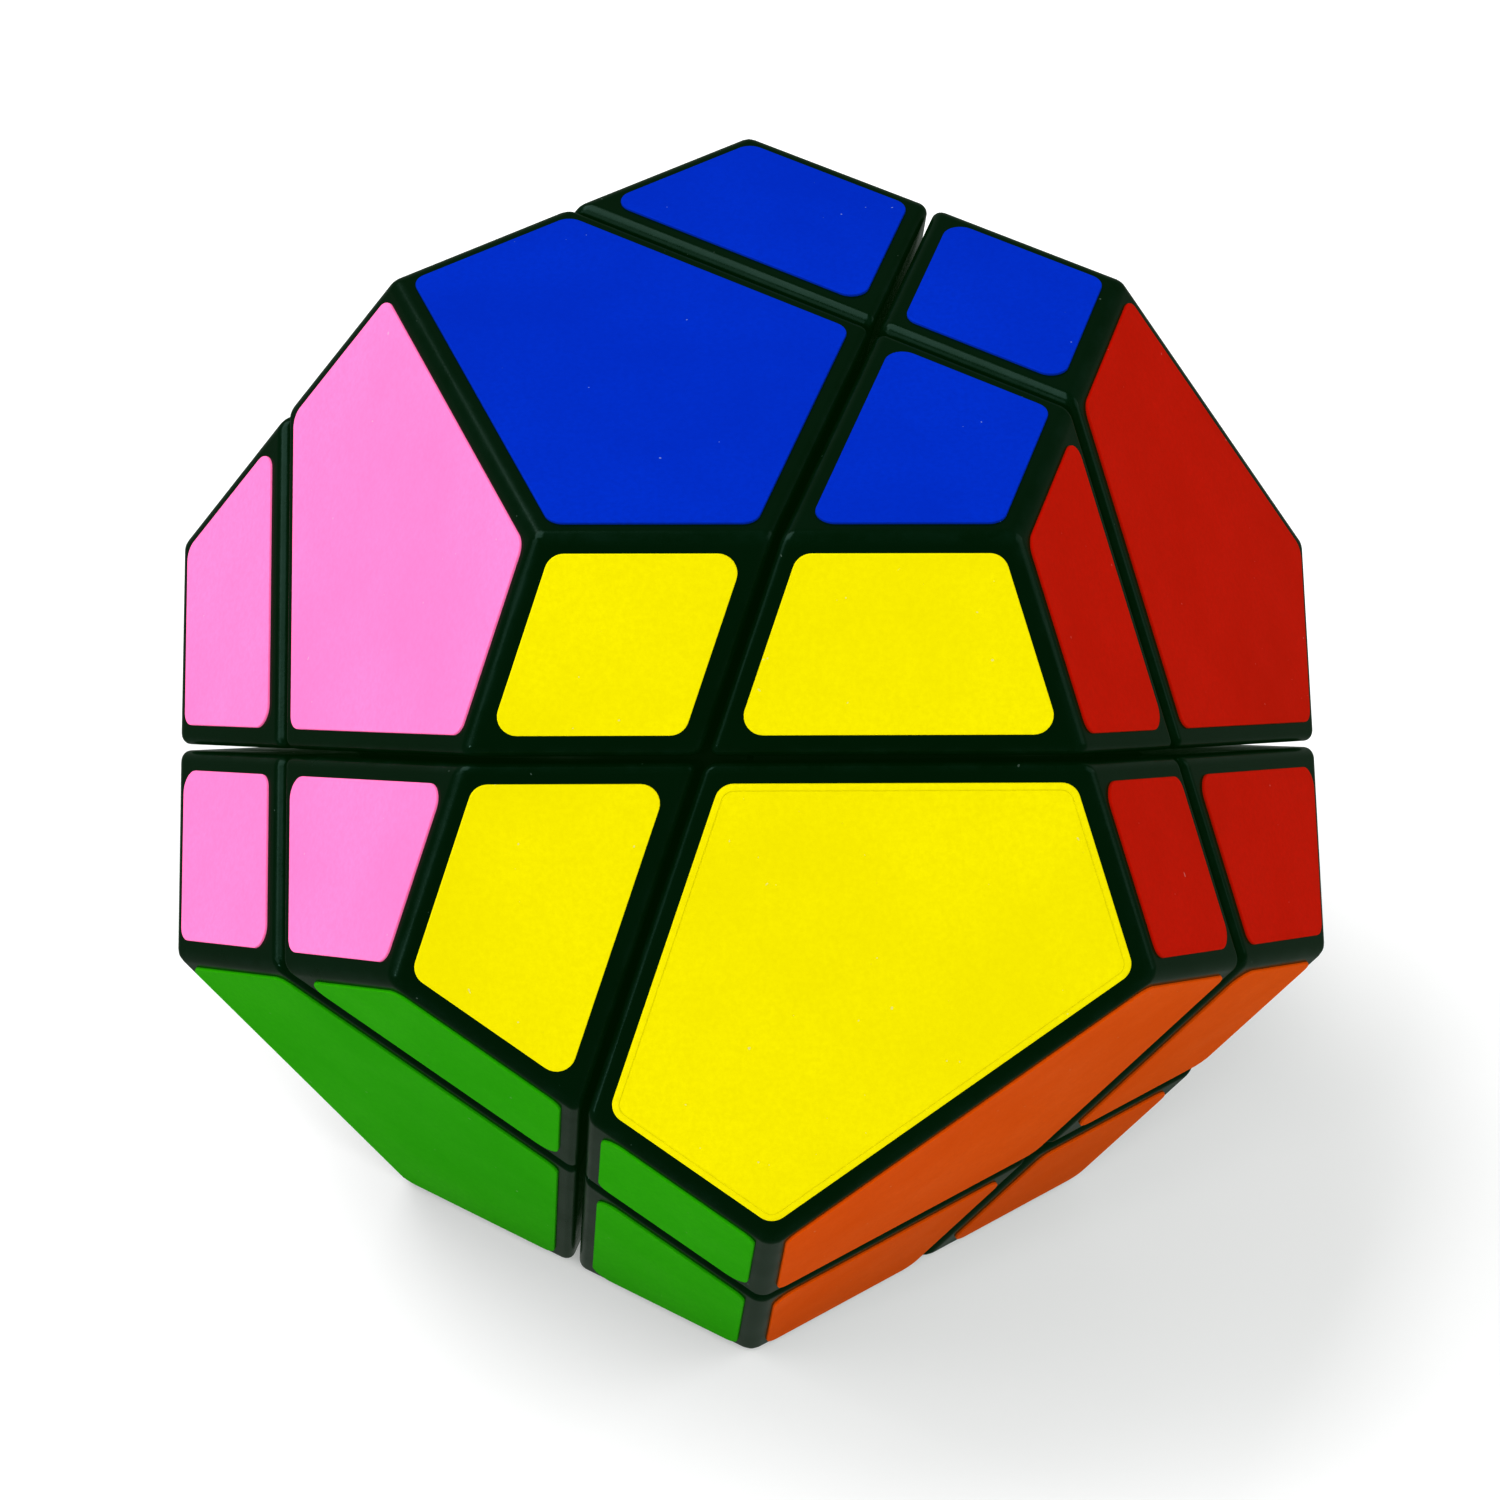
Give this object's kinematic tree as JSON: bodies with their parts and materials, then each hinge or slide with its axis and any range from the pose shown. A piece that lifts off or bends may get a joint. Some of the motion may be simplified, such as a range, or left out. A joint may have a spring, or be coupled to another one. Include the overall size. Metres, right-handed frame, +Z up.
{
  "type": "dodecahedron twisty puzzle",
  "caption": "Hand-held dodecahedron twisty puzzle whose corners and centres turn in halves about deep corner axes on a sprung core.",
  "frame": {"origin": "centre of the box's base, on the outer face of the large sticker under the puzzle", "axes": "+Z up, square to the two blue faces; -Y towards the front, where a yellow face leans back over the edge it shares with the upper blue face; +X along that edge, to the right"},
  "size_m": [0.0752, 0.079, 0.0649],
  "materials": {
    "black_plastic": "black moulded plastic, softly glossy on the rounded edges",
    "inner_plastic": "black moulded plastic, plain, with sliding faces polished by use",
    "core_plastic": "dark grey moulded plastic",
    "screw_steel": "zinc-plated steel",
    "washer_steel": "zinc-plated steel",
    "spring_steel": "drawn spring wire",
    "sticker_mixed": "satin vinyl in the colour of the face that each sticker lies on",
    "sticker_yellow": "satin yellow vinyl",
    "sticker_blue": "satin blue vinyl",
    "sticker_pink": "satin pink vinyl",
    "sticker_green": "satin green vinyl",
    "sticker_orange": "satin orange vinyl",
    "sticker_red": "satin red vinyl"
  },
  "bodies": {
    "core": {"core_spider": "core_plastic", "core_screws": "screw_steel", "tension_springs": "spring_steel", "screw_washers": "washer_steel"},
    "corner_a": {"corner_a_cap": "black_plastic", "corner_a_base": "inner_plastic", "corner_a_stickers": "sticker_mixed"},
    "corner_b": {"corner_b_cap": "black_plastic", "corner_b_base": "inner_plastic", "corner_b_stickers": "sticker_mixed"},
    "corner_c": {"corner_c_cap": "black_plastic", "corner_c_base": "inner_plastic", "corner_c_stickers": "sticker_mixed"},
    "corner_d": {"corner_d_cap": "black_plastic", "corner_d_base": "inner_plastic", "corner_d_stickers": "sticker_mixed"},
    "corner_abc": {"corner_abc_shell": "black_plastic", "corner_abc_foot": "inner_plastic", "corner_abc_stickers": "sticker_mixed"},
    "corner_abd": {"corner_abd_shell": "black_plastic", "corner_abd_foot": "inner_plastic", "corner_abd_stickers": "sticker_mixed"},
    "corner_acd": {"corner_acd_shell": "black_plastic", "corner_acd_foot": "inner_plastic", "corner_acd_stickers": "sticker_mixed"},
    "corner_bcd": {"corner_bcd_shell": "black_plastic", "corner_bcd_foot": "inner_plastic", "corner_bcd_stickers": "sticker_mixed"},
    "centre_ab": {"centre_ab_shell": "black_plastic", "centre_ab_foot": "inner_plastic", "centre_ab_kites": "sticker_mixed", "centre_ab_pink": "sticker_pink", "centre_ab_blue": "sticker_blue"},
    "centre_ac": {"centre_ac_shell": "black_plastic", "centre_ac_foot": "inner_plastic", "centre_ac_kites": "sticker_mixed", "centre_ac_yellow": "sticker_yellow", "centre_ac_orange": "sticker_orange"},
    "centre_ad": {"centre_ad_shell": "black_plastic", "centre_ad_foot": "inner_plastic", "centre_ad_kites": "sticker_mixed", "centre_ad_red": "sticker_red", "centre_ad_green": "sticker_green"},
    "centre_bc": {"centre_bc_shell": "black_plastic", "centre_bc_foot": "inner_plastic", "centre_bc_kites": "sticker_mixed", "centre_bc_green": "sticker_green", "centre_bc_red": "sticker_red"},
    "centre_bd": {"centre_bd_shell": "black_plastic", "centre_bd_foot": "inner_plastic", "centre_bd_kites": "sticker_mixed", "centre_bd_orange": "sticker_orange", "centre_bd_yellow": "sticker_yellow"},
    "centre_cd": {"centre_cd_shell": "black_plastic", "centre_cd_foot": "inner_plastic", "centre_cd_kites": "sticker_mixed", "centre_cd_blue": "sticker_blue", "centre_cd_pink": "sticker_pink"}
  },
  "joints": [
    {"name": "turn_a", "type": "hinge", "parent": "core", "child": "corner_a", "pos_m": [0, 0, 0.03247], "axis": [0.3568, -0.4911, 0.7947], "continuous": true},
    {"name": "turn_b", "type": "hinge", "parent": "core", "child": "corner_b", "pos_m": [0, 0, 0.03247], "axis": [-0.9342, 0.3035, 0.1876], "range_deg": [-360, 360]},
    {"name": "turn_c", "type": "hinge", "parent": "core", "child": "corner_c", "pos_m": [0, 0, 0.03247], "axis": [0, -0.6071, -0.7947], "range_deg": [-360, 360]},
    {"name": "turn_d", "type": "hinge", "parent": "core", "child": "corner_d", "pos_m": [0, 0, 0.03247], "axis": [0.5774, 0.7947, -0.1876], "range_deg": [-360, 360]},
    {"name": "turn_b_centre_ab", "type": "hinge", "parent": "corner_a", "child": "centre_ab", "pos_m": [0, 0, 0.03247], "axis": [-0.9342, 0.3035, 0.1876], "range_deg": [-360, 360]},
    {"name": "turn_c_centre_ac", "type": "hinge", "parent": "corner_a", "child": "centre_ac", "pos_m": [0, 0, 0.03247], "axis": [0, -0.6071, -0.7947], "range_deg": [-360, 360]},
    {"name": "turn_d_centre_ad", "type": "hinge", "parent": "corner_a", "child": "centre_ad", "pos_m": [0, 0, 0.03247], "axis": [0.5774, 0.7947, -0.1876], "range_deg": [-360, 360]},
    {"name": "turn_c_centre_bc", "type": "hinge", "parent": "corner_b", "child": "centre_bc", "pos_m": [0, 0, 0.03247], "axis": [0, -0.6071, -0.7947], "range_deg": [-360, 360]},
    {"name": "turn_d_centre_bd", "type": "hinge", "parent": "corner_b", "child": "centre_bd", "pos_m": [0, 0, 0.03247], "axis": [0.5774, 0.7947, -0.1876], "range_deg": [-360, 360]},
    {"name": "turn_d_centre_cd", "type": "hinge", "parent": "corner_c", "child": "centre_cd", "pos_m": [0, 0, 0.03247], "axis": [0.5774, 0.7947, -0.1876], "range_deg": [-360, 360]},
    {"name": "turn_c_corner_abc", "type": "hinge", "parent": "centre_ab", "child": "corner_abc", "pos_m": [0, 0, 0.03247], "axis": [0, -0.6071, -0.7947], "range_deg": [-360, 360]},
    {"name": "turn_d_corner_abd", "type": "hinge", "parent": "centre_ab", "child": "corner_abd", "pos_m": [0, 0, 0.03247], "axis": [0.5774, 0.7947, -0.1876], "range_deg": [-360, 360]},
    {"name": "turn_d_corner_acd", "type": "hinge", "parent": "centre_ac", "child": "corner_acd", "pos_m": [0, 0, 0.03247], "axis": [0.5774, 0.7947, -0.1876], "range_deg": [-360, 360]},
    {"name": "turn_d_corner_bcd", "type": "hinge", "parent": "centre_bc", "child": "corner_bcd", "pos_m": [0, 0, 0.03247], "axis": [0.5774, 0.7947, -0.1876], "range_deg": [-360, 360]}
  ],
  "couplings": [
    {"joint": "turn_b_centre_ab", "follows": "turn_b", "ratio": 1},
    {"joint": "turn_c_centre_ac", "follows": "turn_c", "ratio": 1},
    {"joint": "turn_d_centre_ad", "follows": "turn_d", "ratio": 1},
    {"joint": "turn_c_centre_bc", "follows": "turn_c", "ratio": 1},
    {"joint": "turn_d_centre_bd", "follows": "turn_d", "ratio": 1},
    {"joint": "turn_d_centre_cd", "follows": "turn_d", "ratio": 1},
    {"joint": "turn_c_corner_abc", "follows": "turn_c", "ratio": 1},
    {"joint": "turn_d_corner_abd", "follows": "turn_d", "ratio": 1},
    {"joint": "turn_d_corner_acd", "follows": "turn_d", "ratio": 1},
    {"joint": "turn_d_corner_bcd", "follows": "turn_d", "ratio": 1}
  ]
}
